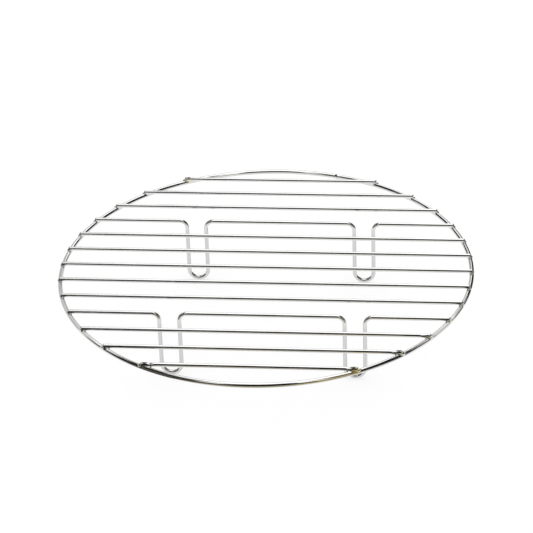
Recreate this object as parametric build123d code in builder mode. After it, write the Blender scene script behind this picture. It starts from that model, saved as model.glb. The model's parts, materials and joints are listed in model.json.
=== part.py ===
from build123d import *
import os
from math import cos, floor, radians, sin, sqrt

# A round cooking rack of plated steel wire: parallel wires welded across the top of one ring.
# Two of the wires dip twice into U-shaped feet, which stand the rack clear of what is below it.
# The origin is on the table under the middle of the ring, +X along the wires, +Y back, +Z up.

# Overall height, from the table to the top of the cross wires
rack_height = 52.0

# Ring: one length of wire rolled round, with its two ends butt-welded
ring_outer_diameter = 300.0
ring_wire = 3.5
seam_angle = 73.0  # where the butt weld is, from +X towards +Y
seam_length = 3.6  # how far the weld metal runs along the wire
seam_rise = 0.3  # how far the weld bead stands proud of the wire

# Cross wires, laid on the ring at an even pitch from its middle outwards
rung_wire = 3.0
rung_pitch = 21.6
rim_gap = 16.0  # least room from an outermost wire to the front or back of the ring
end_reach = 1.0  # how far a cut end passes the ring's centre line, towards the outside
cut_round = 1.1  # edge of a cut end, which plating and tumbling leave almost a dome

# Resistance welds, where the cross wires are pressed into the ring
weld_set_down = 0.6
weld_spread = 1.65  # radius of the metal squeezed out round a crossing
weld_rise = 0.9  # how far that metal climbs each wire

# Feet, bent down out of one cross wire on each side of the middle
foot_depth = 129.6  # from the front feet to the rear ones, whose wires take the nearest rows
rear_foot_spacing = 125.2
rear_foot_shift = 4.8  # the feet stand a little to the right of the ring's middle
front_foot_spacing = 130.3
front_foot_shift = 2.7
foot_width = 14.2  # between the centre lines of a foot's two uprights
foot_bend = 5.5  # radius of the bend at the top of an upright

ring_radius = (ring_outer_diameter - ring_wire) / 2
rung_height = rack_height - rung_wire / 2
ring_height = rung_height - (rung_wire + ring_wire) / 2 + weld_set_down
weld_height = ring_height + (ring_wire - weld_set_down) / 2
outer_row = floor((ring_radius - rim_gap) / rung_pitch)
leg_row = round(foot_depth / 2 / rung_pitch)
foot_radius = foot_width / 2
foot_arc_height = rung_wire / 2 + foot_radius
bend_height = rung_height - foot_bend
leg_names = {-leg_row: "rear_leg_wire", leg_row: "front_leg_wire"}
leg_places = {-leg_row: foot_depth / 2, leg_row: -foot_depth / 2}
feet_places = {
    -leg_row: [rear_foot_shift - rear_foot_spacing / 2, rear_foot_shift + rear_foot_spacing / 2],
    leg_row: [front_foot_shift - front_foot_spacing / 2, front_foot_shift + front_foot_spacing / 2],
}

os.makedirs("parts", exist_ok=True)

# The ring, with the bead of its butt weld
seam_direction = Vector(cos(radians(seam_angle)), sin(radians(seam_angle)), 0)
seam_point = seam_direction * ring_radius + Vector(0, 0, ring_height)
seam_tangent = Axis.Z.direction.cross(seam_direction)

with BuildPart() as outer_ring:
    with BuildSketch(Plane.XZ):
        with Locations((ring_radius, ring_height)):
            Circle(ring_wire / 2)
    revolve(axis=Axis.Z)
    with BuildSketch(Plane(origin=seam_point, x_dir=seam_tangent, z_dir=(0, 0, 1))):
        Ellipse(seam_length / 2, ring_wire / 2 + seam_rise)
        split(bisect_by=Plane.XZ)
    revolve(axis=Axis(seam_point, seam_tangent))
outer_ring.part.label = "outer_ring"
export_step(outer_ring.part, "parts/outer_ring.step")

# The metal squeezed out at one crossing, round its own centre
with BuildPart() as weld_metal:
    with BuildSketch(Plane.XZ):
        Ellipse(weld_spread, weld_rise)
        split(bisect_by=Plane.YZ)
    revolve(axis=Axis.Z)


def half_chord(radius, row_y):
    """Half the width of a circle of this radius along one row of wire."""
    return sqrt(radius**2 - row_y**2)


# Each cross wire is swept along its route, then seated on the ring at its two welds
for row in range(-outer_row, outer_row + 1):
    row_y = leg_places.get(row, -row * rung_pitch)
    wire_end = half_chord(ring_radius + end_reach, row_y)
    weld_x = half_chord(ring_radius, row_y)
    with BuildPart() as cross_wire:
        with BuildLine(Plane(origin=(0, row_y, 0), x_dir=(1, 0, 0), z_dir=(0, -1, 0))) as route:
            run_start = -wire_end
            for foot_x in feet_places.get(row, []):
                left = foot_x - foot_radius
                right = foot_x + foot_radius
                Line((run_start, rung_height), (left - foot_bend, rung_height))
                RadiusArc((left - foot_bend, rung_height), (left, bend_height), foot_bend)
                Line((left, bend_height), (left, foot_arc_height))
                ThreePointArc((left, foot_arc_height), (foot_x, rung_wire / 2), (right, foot_arc_height))
                Line((right, foot_arc_height), (right, bend_height))
                RadiusArc((right, bend_height), (right + foot_bend, rung_height), foot_bend)
                run_start = right + foot_bend
            Line((run_start, rung_height), (wire_end, rung_height))
        with BuildSketch(Plane(origin=(-wire_end, row_y, rung_height), z_dir=(1, 0, 0))):
            Circle(rung_wire / 2)
        sweep(path=route.line)
        by_length = cross_wire.edges().group_by(Axis.X)
        fillet(by_length[0] + by_length[-1], radius=cut_round)
        with Locations((-weld_x, row_y, weld_height), (weld_x, row_y, weld_height)):
            add(weld_metal.part)
        add(outer_ring.part, mode=Mode.SUBTRACT)
    wire_name = leg_names.get(row, f"rung_{row + outer_row + 1:02d}")
    cross_wire.part.label = wire_name
    export_step(cross_wire.part, f"parts/{wire_name}.step")
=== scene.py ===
import json
from math import cos, pi, radians, sin

import bpy
import numpy as np
from mathutils import Matrix, Vector


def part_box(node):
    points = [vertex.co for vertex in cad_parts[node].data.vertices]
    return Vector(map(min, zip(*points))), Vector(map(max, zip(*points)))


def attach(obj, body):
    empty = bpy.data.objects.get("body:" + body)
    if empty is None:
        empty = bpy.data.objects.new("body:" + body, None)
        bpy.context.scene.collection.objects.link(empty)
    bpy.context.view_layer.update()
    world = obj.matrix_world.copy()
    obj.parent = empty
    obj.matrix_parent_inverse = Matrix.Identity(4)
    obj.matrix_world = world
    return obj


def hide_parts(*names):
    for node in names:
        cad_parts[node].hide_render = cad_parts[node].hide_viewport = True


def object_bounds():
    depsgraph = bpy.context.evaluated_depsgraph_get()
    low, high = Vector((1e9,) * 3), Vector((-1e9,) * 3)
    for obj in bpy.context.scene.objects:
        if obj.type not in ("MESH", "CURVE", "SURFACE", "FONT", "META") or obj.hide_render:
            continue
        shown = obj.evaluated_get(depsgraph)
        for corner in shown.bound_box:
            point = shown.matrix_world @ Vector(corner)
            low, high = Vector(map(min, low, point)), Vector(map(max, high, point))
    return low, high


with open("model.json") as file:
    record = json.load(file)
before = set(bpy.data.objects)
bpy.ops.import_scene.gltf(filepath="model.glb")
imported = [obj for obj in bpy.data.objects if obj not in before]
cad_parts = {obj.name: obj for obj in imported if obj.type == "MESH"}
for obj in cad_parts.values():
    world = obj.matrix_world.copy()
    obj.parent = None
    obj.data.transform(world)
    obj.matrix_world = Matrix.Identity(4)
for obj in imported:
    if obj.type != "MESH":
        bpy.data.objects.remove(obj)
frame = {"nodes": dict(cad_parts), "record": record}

cad_box = [list(corner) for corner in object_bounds()]

# The ring
# One length of drawn steel wire, rolled round and butt-welded end to end at the back right.
# The cross wires are pressed into its top while hot, so metal swells up round each of them.
ring_low, ring_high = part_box("outer_ring")
ring_wire = 0.0035
seam_turn = radians(73)
seam_rise = 0.0003
seam_half_length = 0.0011
ring_reach = (ring_high.x - ring_low.x - ring_wire) / 2
ring_level = ring_low.z + seam_rise + ring_wire / 2
rung_wire = 0.0030
rack_top = cad_box[1][2]
rung_level = rack_top - rung_wire / 2
row_names = [name for name in frame["nodes"] if name != "outer_ring"]
row_names.sort(key=lambda name: -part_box(name)[0].y)
row_depths = np.array([sum(corner.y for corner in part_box(name)) / 2 for name in row_names])
row_welds = np.sqrt(ring_reach**2 - row_depths**2)
end_past_weld = 0.0010
row_ends = np.sqrt((ring_reach + end_past_weld) ** 2 - row_depths**2)
left_end, right_end = -1, 1
weld_fillet = 0.0012
weld_swell_limit = 0.0009
weld_swell_passes = 12


def gap_to_metal(points):
    """How far points near the ring lie outside the metal, with the crease at each weld filled."""
    from_ring = np.hypot(np.hypot(points[:, 0], points[:, 1]) - ring_reach, points[:, 2] - ring_level)
    row = np.abs(points[:, 1:2] - row_depths).argmin(axis=1)
    past_end = np.maximum(np.abs(points[:, 0]) - row_ends[row], 0)
    beside_rung = points[:, 1] - row_depths[row]
    above_rung = points[:, 2] - rung_level
    from_rung = np.sqrt(past_end**2 + beside_rung**2 + above_rung**2)
    ring_gap = from_ring - ring_wire / 2
    rung_gap = from_rung - rung_wire / 2
    share = np.clip(0.5 + 0.5 * (rung_gap - ring_gap) / weld_fillet, 0, 1)
    filled = rung_gap * (1 - share) + ring_gap * share - weld_fillet * share * (1 - share)
    return np.where(ring_gap < weld_fillet, filled, 0)


def swell_at_welds(points, outward):
    """Moves wire surface points out to the surface of the weld metal, inside the rack's own box."""
    start = points.copy()
    for swell_pass in range(weld_swell_passes):
        short = np.maximum(-gap_to_metal(points), 0)
        points = points + outward * short[:, None]
        moved = ((points - start) * outward).sum(axis=1)
        points = start + outward * np.minimum(moved, weld_swell_limit)[:, None]
    return np.clip(points, cad_box[0], cad_box[1])


weld_heat_reach = 0.0034
mild_weld = 0.14
hot_welds = {
    ("rung_01", left_end): 0.50,
    ("rung_12", right_end): 0.20,
    ("rung_13", left_end): 0.34,
    ("rung_13", right_end): 0.90,
}


def heat_from_welds(points):
    """How much a weld has tinted the plating: most at its middle, none some millimetres along the wires."""
    heat = np.zeros(len(points))
    for name, x, y in zip(row_names, row_welds, row_depths):
        for side in (left_end, right_end):
            weld_middle = np.array((side * x, y, ring_level + ring_wire / 2))
            away = np.linalg.norm(points - weld_middle, axis=1)
            strength = hot_welds.get((name, side), mild_weld)
            heat = np.maximum(heat, strength * np.exp(-((away / weld_heat_reach) ** 2)))
    return heat


# Painted dark reflections: near-black spots on top of a few cross wires beside their welds, painted in the
# place of the metal's dark reflection.
dark_reflection_welds = {
    ("rung_01", left_end): 0.8,
    ("rung_12", right_end): 0.9,
    ("rung_13", left_end): 1.0,
    ("rung_13", right_end): 1.0,
}
dark_reflection_inside = 0.0012
dark_reflection_behind = 0.0007
dark_reflection_reach = 0.0020


def painted_dark_reflection(points):
    """How much a painted dark reflection darkens the plating: only on top of a few cross wires, at their
    welds.
    """
    reflection_darkness = np.zeros(len(points))
    for (name, side), strength in dark_reflection_welds.items():
        row = row_names.index(name)
        spot = (side * (row_welds[row] - dark_reflection_inside), row_depths[row] + dark_reflection_behind, rack_top)
        away = np.linalg.norm(points - np.array(spot), axis=1)
        reflection_darkness = np.maximum(reflection_darkness, strength * np.exp(-((away / dark_reflection_reach) ** 2)))
    return reflection_darkness


wire_sides = 40


def wire_piece(name, centres, along, across, radii, closed):
    """A round wire swept along its centre line. The marks of drawing and welding, a painted dark reflection
    on top of some welds and a painted shade on the feet are kept as maps.
    """
    count = len(centres)
    turns = np.arange(wire_sides) * 2 * pi / wire_sides
    beside = np.cross(across, along)
    outward = (
        np.cos(turns)[None, :, None] * beside[:, None, :]
        + np.sin(turns)[None, :, None] * across[None, None, :]
    )
    points = centres[:, None, :] + radii[:, None, None] * outward
    points = swell_at_welds(points.reshape(-1, 3), outward.reshape(-1, 3))
    run = np.concatenate([[0], np.cumsum(np.linalg.norm(np.diff(centres, axis=0), axis=1))])
    laps = np.arange(count if closed else count - 1)
    after = (laps + 1) % count
    run_after = run[laps] + np.linalg.norm(centres[after] - centres[laps], axis=1)
    sides = np.arange(wire_sides)
    beyond = (sides + 1) % wire_sides
    first, second = laps[:, None] * wire_sides, after[:, None] * wire_sides
    faces = np.stack([first + sides, first + beyond, second + beyond, second + sides], axis=-1)
    faces = faces.reshape(-1, 4).tolist()
    turn_here, run_here = np.broadcast_arrays(sides / wire_sides, run[laps][:, None])
    turn_next, run_next = np.broadcast_arrays((sides + 1) / wire_sides, run_after[:, None])
    corners = [run_here, turn_here, run_here, turn_next, run_next, turn_next, run_next, turn_here]
    face_runs = np.stack(corners, axis=-1).reshape(-1, 2).tolist()
    if not closed:
        for end_start, order, end_run in ((0, -1, run[0]), ((count - 1) * wire_sides, 1, run[-1])):
            faces.append([int(end_start + side) for side in sides][::order])
            face_runs += [(end_run, side / wire_sides) for side in sides][::order]
    mesh = bpy.data.meshes.new(name)
    mesh.from_pydata(points.tolist(), [], faces)
    layer = mesh.uv_layers.new(name="wire_run")
    layer.data.foreach_set("uv", np.array(face_runs, np.float32).ravel())
    round_wire = np.stack([np.cos(turns), np.sin(turns)], axis=1) * rung_wire / 2
    grain = np.concatenate([np.tile(round_wire, (count, 1)), np.repeat(run, wire_sides)[:, None]], axis=1)
    drawn = mesh.attributes.new("wire_grain", "FLOAT_VECTOR", "POINT")
    drawn.data.foreach_set("vector", grain.astype(np.float32).ravel())
    marks = {
        "weld_heat": heat_from_welds(points),
        # Painted dark reflection on top of some welds.
        "weld_painted_dark_reflection": painted_dark_reflection(points),
        # Painted shade: the wire is darkened from just below the ring down to the table, so the feet read
        # darker.
        "foot_painted_shade": np.clip((ring_level - ring_wire - points[:, 2]) / ring_wire, 0, 1),
    }
    for mark, amount in marks.items():
        kept = mesh.attributes.new(mark, "FLOAT", "POINT")
        kept.data.foreach_set("value", amount.astype(np.float32))
    mesh.shade_smooth()
    piece = bpy.data.objects.new(name, mesh)
    bpy.context.scene.collection.objects.link(piece)
    return piece


def spread_stations(low, high, crowded, reach, fine, coarse):
    """Places along a run, close together within reach of each crowded place."""
    places = [low]
    while places[-1] < high:
        here = places[-1]
        near = min(abs(here + fine / 2 - spot) for spot in crowded)
        places.append(here + (fine if near < reach else min(coarse, max(fine, near - reach))))
    places[-1] = high
    return np.array(places)


fine_step = 0.0003
ring_step = 0.003
ring_weld_reach = 0.006
weld_turns = np.concatenate([np.arctan2(row_depths, row_welds), np.arctan2(row_depths, -row_welds)])
weld_turns = seam_turn + (weld_turns - seam_turn) % (2 * pi)
ring_turns = spread_stations(
    seam_turn, seam_turn + 2 * pi, [*weld_turns, seam_turn, seam_turn + 2 * pi],
    ring_weld_reach / ring_reach, fine_step / ring_reach, ring_step / ring_reach,
)[:-1]
straight_up = np.array([0.0, 0.0, 1.0])
ring_spokes = np.stack([np.cos(ring_turns), np.sin(ring_turns), np.zeros(len(ring_turns))], axis=1)
ring_centres = ring_reach * ring_spokes + ring_level * straight_up
ring_along = np.cross(straight_up, ring_spokes)
seam_run = ((ring_turns - seam_turn + pi) % (2 * pi) - pi) * ring_reach
ring_radii = ring_wire / 2 + seam_rise * np.exp(-((seam_run / seam_half_length) ** 2))
ring_piece = wire_piece("ring_wire", ring_centres, ring_along, straight_up, ring_radii, True)

plating = bpy.data.materials.new("bright_plating")
plating.use_nodes = True
plating_nodes, plating_links = plating.node_tree.nodes, plating.node_tree.links
shine = plating_nodes["Principled BSDF"]
shine.inputs["Metallic"].default_value = 1.0


def plating_noise(source, scale, stretch, detail):
    """Noise laid on the wire from one of its own maps, stretched along one of its directions."""
    place = plating_nodes.new("ShaderNodeMapping")
    place.inputs["Scale"].default_value = stretch
    plating_links.new(source, place.inputs["Vector"])
    grain = plating_nodes.new("ShaderNodeTexNoise")
    grain.inputs["Scale"].default_value = scale
    grain.inputs["Detail"].default_value = detail
    plating_links.new(place.outputs["Vector"], grain.inputs["Vector"])
    return grain.outputs["Fac"]


def plating_ramp(source, low, high, low_value, high_value):
    """Turns a span of a pattern into a span of values."""
    span = plating_nodes.new("ShaderNodeMapRange")
    span.inputs["From Min"].default_value = low
    span.inputs["From Max"].default_value = high
    span.inputs["To Min"].default_value = low_value
    span.inputs["To Max"].default_value = high_value
    plating_links.new(source, span.inputs["Value"])
    return span.outputs["Result"]


def plating_sum(first, second, operation):
    """Two patterns put together."""
    total = plating_nodes.new("ShaderNodeMath")
    total.operation = operation
    total.use_clamp = True
    plating_links.new(first, total.inputs[0])
    plating_links.new(second, total.inputs[1])
    return total.outputs["Value"]


def plating_tint(amount, under, over):
    """One colour of plating laid over another."""
    mix = plating_nodes.new("ShaderNodeMix")
    mix.data_type = "RGBA"
    plating_links.new(amount, mix.inputs["Factor"])
    for colour, socket in ((under, mix.inputs["A"]), (over, mix.inputs["B"])):
        if isinstance(colour, tuple):
            socket.default_value = (*colour, 1)
        else:
            plating_links.new(colour, socket)
    return mix.outputs["Result"]


def wire_map(name, output):
    """One of the maps kept on the wire's mesh."""
    kept = plating_nodes.new("ShaderNodeAttribute")
    kept.attribute_name = name
    return kept.outputs[output]


cool_chrome, warm_chrome = (0.690, 0.692, 0.691), (0.730, 0.727, 0.717)
# The first colour on the next line is a darker chrome for the painted shade on the feet; the second is the
# drawn lines.
foot_shade_chrome, line_chrome = (0.640, 0.639, 0.634), (0.620, 0.616, 0.605)
# The second colour on the next line is the near-black of the painted dark reflection on some welds.
pit_grey, reflection_black = (0.400, 0.385, 0.355), (0.040, 0.036, 0.030)
straw_tint, brown_tint = (0.660, 0.600, 0.390), (0.320, 0.255, 0.130)
all_ways, along_wire = (1, 1, 1), (1, 1, 0.012)
line_scale, haze_scale, mottle_scale, pit_scale = 3200, 70, 420, 620
brightest_polish, dullest_polish = 0.045, 0.12
relief_strength, relief_depth = 0.25, 0.000012

on_rack = plating_nodes.new("ShaderNodeTexCoord").outputs["Object"]
drawn_lines = plating_noise(wire_map("wire_grain", "Vector"), line_scale, along_wire, 2)
haze = plating_noise(on_rack, haze_scale, all_ways, 3)
mottle = plating_noise(on_rack, mottle_scale, all_ways, 2)
pit_cells = plating_nodes.new("ShaderNodeTexVoronoi")
pit_cells.inputs["Scale"].default_value = pit_scale
plating_links.new(on_rack, pit_cells.inputs["Vector"])
pit_spots = plating_ramp(pit_cells.outputs["Distance"], 0.10, 0.16, 1, 0)
pits = plating_sum(pit_spots, plating_ramp(haze, 0.56, 0.62, 0, 1), "MULTIPLY")
heat_mottle = plating_ramp(mottle, 0.30, 0.70, 0.65, 1.0)
weld_tint = plating_sum(wire_map("weld_heat", "Fac"), heat_mottle, "MULTIPLY")
# Painted dark reflection on top of some welds, mottled.
dark_reflection_mottle = plating_ramp(mottle, 0.30, 0.70, 0.75, 1.0)
dark_reflection_marks = plating_sum(wire_map("weld_painted_dark_reflection", "Fac"), dark_reflection_mottle, "MULTIPLY")

clean = plating_tint(plating_ramp(haze, 0.35, 0.65, 0, 1), cool_chrome, warm_chrome)
# Painted shade: the feet are laid over with the darker chrome towards the table.
foot_shaded = plating_tint(plating_ramp(wire_map("foot_painted_shade", "Fac"), 0, 1, 0, 0.9), clean, foot_shade_chrome)
lined = plating_tint(plating_ramp(drawn_lines, 0.60, 0.75, 0, 0.4), foot_shaded, line_chrome)
pitted = plating_tint(pits, lined, pit_grey)
straw = plating_tint(plating_ramp(weld_tint, 0.10, 0.45, 0, 0.9), pitted, straw_tint)
browned = plating_tint(plating_ramp(weld_tint, 0.50, 0.95, 0, 0.85), straw, brown_tint)
# The painted dark reflection is laid over everything else on top of those welds.
reflection_darkened = plating_tint(plating_ramp(dark_reflection_marks, 0.22, 0.45, 0, 0.95), browned, reflection_black)
plating_links.new(reflection_darkened, shine.inputs["Base Color"])

haze_dulling = plating_ramp(haze, 0.3, 0.7, 0, 0.6)
line_dulling = plating_ramp(drawn_lines, 0.4, 0.8, 0, 0.4)
pit_dulling = plating_ramp(pits, 0, 1, 0, 0.25)
heat_dulling = plating_ramp(weld_tint, 0.2, 1.0, 0, 0.16)
polish = plating_sum(haze_dulling, line_dulling, "ADD")
polish = plating_ramp(polish, 0, 1, brightest_polish, dullest_polish)
dulled = plating_sum(plating_sum(polish, pit_dulling, "ADD"), heat_dulling, "ADD")
plating_links.new(dulled, shine.inputs["Roughness"])
relief = plating_nodes.new("ShaderNodeBump")
relief.inputs["Strength"].default_value = relief_strength
relief.inputs["Distance"].default_value = relief_depth
plating_links.new(plating_sum(drawn_lines, mottle, "ADD"), relief.inputs["Height"])
plating_links.new(relief.outputs["Normal"], shine.inputs["Normal"])

ring_piece.data.materials.append(plating)
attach(ring_piece, "root")
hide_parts("outer_ring")

# The straight cross wires
# Drawn steel wire cut to length, laid across the ring and pressed and welded to it at both ends.
# The cut ends are tumbled before plating, which leaves them almost domed.
cut_round = 0.0011
cut_round_steps = 9
rung_step = 0.006
rung_weld_reach = 0.007
row_axis = np.array([0.0, 1.0, 0.0])


def end_taper(x, end):
    """The wire's radius near a cut end, where its edge is rounded."""
    into_round = np.clip((np.abs(x) - (end - cut_round)) / cut_round, 0, 1)
    return rung_wire / 2 - cut_round * (1 - np.sqrt(np.maximum(1 - into_round**2, 0)))


def run_stations(end, weld):
    """Places along a cross wire: close together in its rounded ends and its welds."""
    round_start = end - cut_round
    rounding = end - cut_round * (1 - np.sin(np.linspace(0, pi / 2, cut_round_steps)))
    inner = spread_stations(-round_start, round_start, [-weld, weld], rung_weld_reach, fine_step, rung_step)
    return np.concatenate([-rounding[:0:-1], inner, rounding[1:]])


pressed_welds = {
    ("rung_11", right_end): 0.00030,
    ("rung_12", right_end): 0.00040,
    ("rung_13", left_end): 0.00050,
    ("rung_13", right_end): 0.00050,
}
press_inside = 0.0042
press_reach = 0.0017


def pressed_level(name, x, weld):
    """The height of a wire's centre line, which dips where the electrode has pressed it beside the ring."""
    level = np.full(len(x), rung_level)
    for side in (left_end, right_end):
        from_press = (side * x - weld + press_inside) / press_reach
        level -= pressed_welds.get((name, side), 0) * np.exp(-(from_press**2))
    return level


for name, depth, end, weld in zip(row_names, row_depths, row_ends, row_welds):
    if name.endswith("leg_wire"):
        continue
    x = run_stations(end, weld)
    level = pressed_level(name, x, weld)
    slope = np.gradient(level, x)
    centres = np.stack([x, np.full(len(x), depth), level], axis=1)
    along = np.stack([np.ones(len(x)), np.zeros(len(x)), slope], axis=1) / np.hypot(1, slope)[:, None]
    rung_piece = wire_piece(f"{name}_wire", centres, along, row_axis, end_taper(x, end), False)
    rung_piece.data.materials.append(plating)
    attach(rung_piece, "root")
    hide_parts(name)

# The leg wires
# Two cross wires bent twice into a narrow U before welding, so the rack stands on four loops.
# Each foot is two upright runs and a half circle, with a small bend where it leaves the wire.
foot_half_width = 0.0071
foot_bend = 0.0055
foot_arc_level = rung_wire / 2 + foot_half_width
bend_level = rung_level - foot_bend
bend_steps = 24
arc_steps = 48
upright_steps = 9
bend_room = 0.001
foot_middles = {
    space["name"]: (space["box_m"][0][0] + space["box_m"][1][0]) / 2
    for space in frame["record"]["physics"]["openings"] if space["name"].endswith("foot_loop")
}


def wire_bend(middle_x, middle_level, radius, turn_from, turn_to, steps):
    """Centre line of one bend: the x and height of its points, and the direction in which each heads."""
    hand = 1 if turn_to > turn_from else -1
    bend = []
    for turn in np.linspace(turn_from, turn_to, steps):
        place = (middle_x + radius * cos(turn), middle_level + radius * sin(turn))
        bend.append((*place, -hand * sin(turn), hand * cos(turn)))
    return bend


def foot_route(foot_x):
    """Centre line of one foot, from the wire down round the loop and back up, with its directions."""
    left, right = foot_x - foot_half_width, foot_x + foot_half_width
    uprights = np.linspace(bend_level, foot_arc_level, upright_steps)[1:-1]
    return np.array([
        *wire_bend(left - foot_bend, bend_level, foot_bend, pi / 2, 0, bend_steps),
        *[(left, level, 0, -1) for level in uprights],
        *wire_bend(foot_x, foot_arc_level, foot_half_width, pi, 2 * pi, arc_steps),
        *[(right, level, 0, 1) for level in uprights[::-1]],
        *wire_bend(right + foot_bend, bend_level, foot_bend, pi, pi / 2, bend_steps),
    ])


for name, depth, end, weld in zip(row_names, row_depths, row_ends, row_welds):
    if not name.endswith("leg_wire"):
        continue
    x = run_stations(end, weld)
    straight = np.stack([x, np.full(len(x), rung_level), np.ones(len(x)), np.zeros(len(x))], axis=1)
    place = name.removesuffix("_leg_wire")
    feet = [foot_route(foot_middles[f"{place}_{hand}_foot_loop"]) for hand in ("left", "right")]
    bend_ends = [(foot[0, 0] - bend_room, foot[-1, 0] + bend_room) for foot in feet]
    route = np.concatenate([
        straight[x < bend_ends[0][0]], feet[0],
        straight[(x > bend_ends[0][1]) & (x < bend_ends[1][0])], feet[1],
        straight[x > bend_ends[1][1]],
    ])
    centres = np.stack([route[:, 0], np.full(len(route), depth), route[:, 1]], axis=1)
    along = np.stack([route[:, 2], np.zeros(len(route)), route[:, 3]], axis=1)
    leg_piece = wire_piece(f"{name}_bent", centres, along, row_axis, end_taper(route[:, 0], end), False)
    leg_piece.data.materials.append(plating)
    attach(leg_piece, "root")
    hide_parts(name)

# The table and its light
# A white table top under a wide soft lamp, in a pale room. Dark, pale, brown and gold cards stand and
# lie round it, seen by polished metal alone: their reflections are the dark lines along the wires.
half_table = 3.0
table_sides = (-half_table, half_table)
table_mesh = bpy.data.meshes.new("table_top")
table_mesh.from_pydata([(x, y, 0) for y in table_sides for x in table_sides], [], [(0, 1, 3, 2)])
table = bpy.data.objects.new("table_top", table_mesh)
bpy.context.scene.collection.objects.link(table)


def seen_by_camera_or_metal(tree):
    """1 for what the camera, polished metal or clear material sees, 0 for light falling on things."""
    path = tree.nodes.new("ShaderNodeLightPath")
    seen = path.outputs["Is Camera Ray"]
    for ray in ("Is Glossy Ray", "Is Transmission Ray"):
        wider = tree.nodes.new("ShaderNodeMath")
        wider.operation = "MAXIMUM"
        tree.links.new(seen, wider.inputs[0])
        tree.links.new(path.outputs[ray], wider.inputs[1])
        seen = wider.outputs["Value"]
    return seen


white_top = bpy.data.materials.new("white_table_top")
white_top.use_nodes = True
top_tree = white_top.node_tree
paint = top_tree.nodes["Principled BSDF"]
paint.inputs["Base Color"].default_value = (0.31, 0.31, 0.31, 1)
paint.inputs["Roughness"].default_value = 1.0
paint.inputs["Specular IOR Level"].default_value = 0.0
paint.inputs["Emission Color"].default_value = (0.65, 0.65, 0.65, 1)
top_tree.links.new(seen_by_camera_or_metal(top_tree), paint.inputs["Emission Strength"])
table_mesh.materials.append(white_top)


def glossy_card(name, points, faces, shade, one_sided=False):
    """A card that only polished metal sees: it casts no shadow and dims nothing else."""
    card_mesh = bpy.data.meshes.new(name)
    card_mesh.from_pydata(points, [], faces)
    card = bpy.data.objects.new(name, card_mesh)
    bpy.context.scene.collection.objects.link(card)
    card.visible_camera = False
    card.visible_diffuse = False
    card.visible_transmission = False
    card.visible_shadow = False
    finish = bpy.data.materials.new(f"{name}_shade")
    finish.use_nodes = True
    face = finish.node_tree.nodes["Principled BSDF"]
    face.inputs["Base Color"].default_value = (0, 0, 0, 1)
    face.inputs["Roughness"].default_value = 1.0
    face.inputs["Specular IOR Level"].default_value = 0.0
    face.inputs["Emission Color"].default_value = (*shade, 1)
    face.inputs["Emission Strength"].default_value = 1.0
    card_mesh.materials.append(finish)
    if one_sided:
        facing = finish.node_tree.nodes.new("ShaderNodeNewGeometry")
        fronted = finish.node_tree.nodes.new("ShaderNodeMath")
        fronted.operation = "SUBTRACT"
        fronted.inputs[0].default_value = 1.0
        finish.node_tree.links.new(facing.outputs["Backfacing"], fronted.inputs[1])
        finish.node_tree.links.new(fronted.outputs["Value"], face.inputs["Alpha"])


def upright_card(name, line, bottom, top, shade, one_sided=False):
    """A card stood along a line on the table, from one height to another."""
    points = [(x, y, z) for x, y in line for z in (bottom, top)]
    faces = [(2 * i, 2 * i + 2, 2 * i + 3, 2 * i + 1) for i in range(len(line) - 1)]
    glossy_card(name, points, faces, shade, one_sided)


black, olive, drab = (0.010, 0.009, 0.008), (0.040, 0.036, 0.020), (0.060, 0.055, 0.042)
dark_brown, old_gold = (0.110, 0.075, 0.050), (0.480, 0.405, 0.200)
grey, pale_grey, white = (0.60, 0.60, 0.59), (0.80, 0.80, 0.79), (1.45, 1.45, 1.45)

# Cards curved round the rack: reach, first and last turn in degrees, bottom, top, shade
curved_cards = {
    "front_card": (0.90, 251, 291, 0.0, 2.66, black),
    "left_white_card": (2.00, 235, 249.5, 1.30, 3.40, white),
    "left_far_card": (2.00, 249.5, 257, 0.0, 5.00, black),
    "right_white_card": (0.90, 291, 308, 0.55, 1.40, white),
    "left_low_card": (0.90, 237, 251, 0.0, 0.55, dark_brown),
    "right_low_card": (0.90, 291, 298, 0.0, 0.55, dark_brown),
    "right_gold_card": (0.89, 298, 316, 0.0, 0.55, old_gold),
    "left_card": (0.90, 178, 212, 0.0, 3.20, black),
    "left_front_card": (0.90, 212, 237, 0.0, 3.20, drab),
    "left_high_card": (0.60, 118, 205, 0.72, 1.28, drab),
    "right_front_card": (0.90, 308, 352, 0.0, 3.20, black),
    "right_card": (0.90, 352, 364, 0.0, 0.90, drab),
    "right_high_card": (0.88, 350, 390, 0.92, 2.10, black),
    "left_grey_card": (0.90, 85, 178, 0.0, 0.66, grey),
    "right_grey_card": (0.90, 4, 40, 0.0, 0.60, grey),
}
curve_step = 3
for name, (reach, turn_from, turn_to, bottom, top, shade) in curved_cards.items():
    turns = np.radians(np.linspace(turn_from, turn_to, int((turn_to - turn_from) / curve_step) + 2))
    upright_card(name, [(reach * cos(a), reach * sin(a)) for a in turns], bottom, top, shade)

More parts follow.
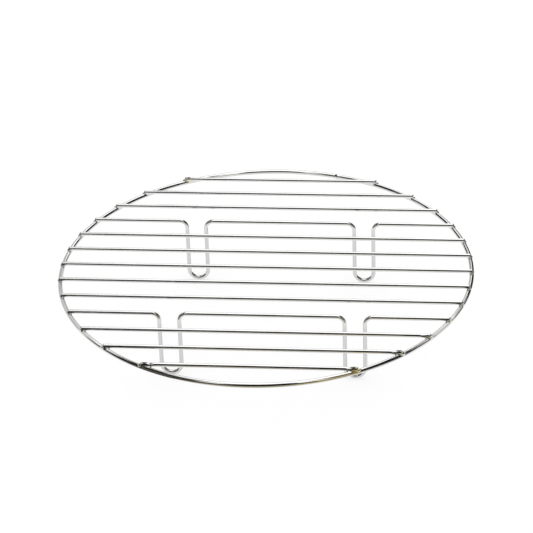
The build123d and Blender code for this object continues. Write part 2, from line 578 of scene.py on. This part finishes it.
# Cards near the rack: line on the table, bottom, top, shade, and whether only one side shows
near_cards = {
    "back_right_card": ([(0.26, 0.125), (0.22, 0.13), (0.17, 0.50)], 0.0, 0.22, olive, False),
    "right_near_card": ([(0.45, 0.10), (0.26, 0.125)], 0.0, 0.13, olive, False),
    "left_near_flag": ([(-0.235, 0.005), (-0.165, 0.030)], 0.085, 0.19, pale_grey, True),
    "left_middle_flag": ([(-0.330, -0.030), (-0.235, 0.005)], 0.13, 0.30, pale_grey, True),
    "left_far_flag": ([(-0.450, -0.073), (-0.330, -0.030)], 0.20, 0.45, pale_grey, True),
    "back_left_flag": ([(-0.098, 0.112), (-0.16, 0.345)], 0.06, 0.42, black, True),
    "far_left_flag": ([(-0.16, 0.345), (-0.2415, 0.65)], 0.10, 0.62, black, True),
    "back_right_flag": ([(0.16, 0.345), (0.098, 0.112)], 0.06, 0.42, black, True),
    "far_right_flag": ([(0.2415, 0.65), (0.16, 0.345)], 0.10, 0.62, black, True),
    "right_flag": ([(0.18, 0.12), (0.18, -0.08)], 0.14, 0.36, black, True),
    "inner_flag": ([(0.020, 0.105), (0.020, 0.050)], 0.001, 0.044, black, True),
}
for name, (line, bottom, top, shade, one_sided) in near_cards.items():
    upright_card(name, line, bottom, top, shade, one_sided)

# Cloths on the table: left, right, front and rear edge, shade
cloth_level = 0.0005
brown, gold = (0.46, 0.41, 0.30), (0.60, 0.50, 0.24)
cloths = {
    "left_front_cloth": (-0.45, -0.075, -0.44, -0.14, drab),
    "front_cloth": (-0.075, 0.05, -0.44, -0.16, brown),
    "front_right_cloth": (0.05, 0.45, -0.44, -0.25, brown),
    "gold_cloth": (0.05, 0.11, -0.25, -0.16, gold),
    "right_brown_cloth": (0.11, 0.19, -0.25, -0.16, brown),
    "right_cloth": (0.19, 0.45, -0.25, -0.12, drab),
    "far_cloth": (-0.45, 0.45, -0.78, -0.44, drab),
}
for name, (left, right, front, rear, shade) in cloths.items():
    corners = [(left, front), (right, front), (right, rear), (left, rear)]
    glossy_card(name, [(x, y, cloth_level) for x, y in corners], [(0, 1, 2, 3)], shade)

lamp = bpy.data.lights.new("soft_lamp", "AREA")
lamp.shape = "SQUARE"
lamp.size = 3.0
lamp.energy = 17
soft_lamp = bpy.data.objects.new("soft_lamp", lamp)
soft_lamp.location = (0, 1.0, 1.5)
bpy.context.scene.collection.objects.link(soft_lamp)

room = bpy.data.worlds.new("pale_room")
room.use_nodes = True
room.node_tree.nodes["Background"].inputs["Color"].default_value = (1, 1, 1, 1)
bpy.context.scene.world = room

# The camera
# A long lens, a little right of the rack's middle and looking down on it, held slightly askew.
photo_side = 533
focal_pixels = 2324.8
camera_azimuth = radians(6.1)
camera_elevation = radians(31.02)
camera_roll = radians(-2.085)
camera_distance = 1.6793
aim_right, aim_up = 0.00055, 0.00289
level_right = Vector((cos(camera_azimuth), sin(camera_azimuth), 0))
level_back = Vector((-sin(camera_azimuth), cos(camera_azimuth), 0))
towards_camera = Vector((0, 0, sin(camera_elevation))) - level_back * cos(camera_elevation)
level_up = towards_camera.cross(level_right)
view_right = level_right * cos(camera_roll) + level_up * sin(camera_roll)
view_up = level_up * cos(camera_roll) - level_right * sin(camera_roll)
aim = Vector((0, 0, ring_level)) + view_right * aim_right + view_up * aim_up
lens = bpy.data.cameras.new("camera")
lens.sensor_width = 36.0
lens.lens = lens.sensor_width * focal_pixels / photo_side
camera = bpy.data.objects.new("camera", lens)
held = Matrix((view_right, view_up, towards_camera)).transposed().to_4x4()
camera.matrix_world = Matrix.Translation(aim + towards_camera * camera_distance) @ held
bpy.context.scene.collection.objects.link(camera)
bpy.context.scene.camera = camera
bpy.context.scene.view_settings.view_transform = "Standard"

bpy.context.view_layer.update()
